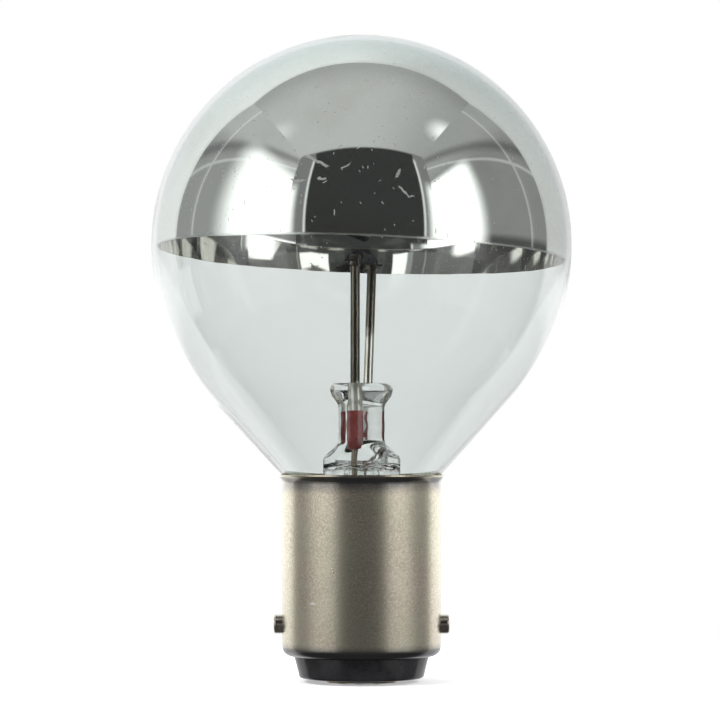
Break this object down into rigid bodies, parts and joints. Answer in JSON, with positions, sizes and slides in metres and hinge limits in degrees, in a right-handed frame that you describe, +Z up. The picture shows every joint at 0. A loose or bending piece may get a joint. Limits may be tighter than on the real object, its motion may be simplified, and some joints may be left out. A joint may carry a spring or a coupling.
{
  "type": "surgical light bulb",
  "caption": "Clear glass globe lamp bulb with a silvered crown and a double-contact bayonet cap, which throws its light back down out of an operating lamp.",
  "frame": {"origin": "where the axis of the two bayonet pins crosses the lamp's axis", "axes": "+Z up the lamp's axis from the contacts to the silvered crown, +X along the bayonet pins, Y along the line of the two contacts"},
  "size_m": [0.0404, 0.0404, 0.0621],
  "materials": {
    "clear_glass": "polished",
    "silvering": "mirror",
    "nickel_shell": "satin",
    "pin_metal": "satin",
    "black_glass": "glossy",
    "contact_brass": "satin",
    "solder": "dull",
    "lead_nickel": "drawn",
    "seal_red": "borated",
    "lead_copper": "drawn",
    "tungsten": "drawn",
    "cement": "baked"
  },
  "bodies": {
    "root": {"glass_globe": "clear_glass", "crown_mirror": "silvering", "stem_glass": "clear_glass", "exhaust_tube": "clear_glass", "filament": "tungsten", "cap_shell": "nickel_shell", "bayonet_pin_left": "pin_metal", "bayonet_pin_right": "pin_metal", "cap_insulator": "black_glass", "basing_cement": "cement", "inner_lead_front": "lead_nickel", "inner_lead_rear": "lead_nickel", "seal_wire_front": "seal_red", "seal_wire_rear": "seal_red", "outer_lead_front": "lead_copper", "outer_lead_rear": "lead_copper", "contact_front": "contact_brass", "contact_rear": "contact_brass", "solder_front": "solder", "solder_rear": "solder"}
  },
  "joints": []
}
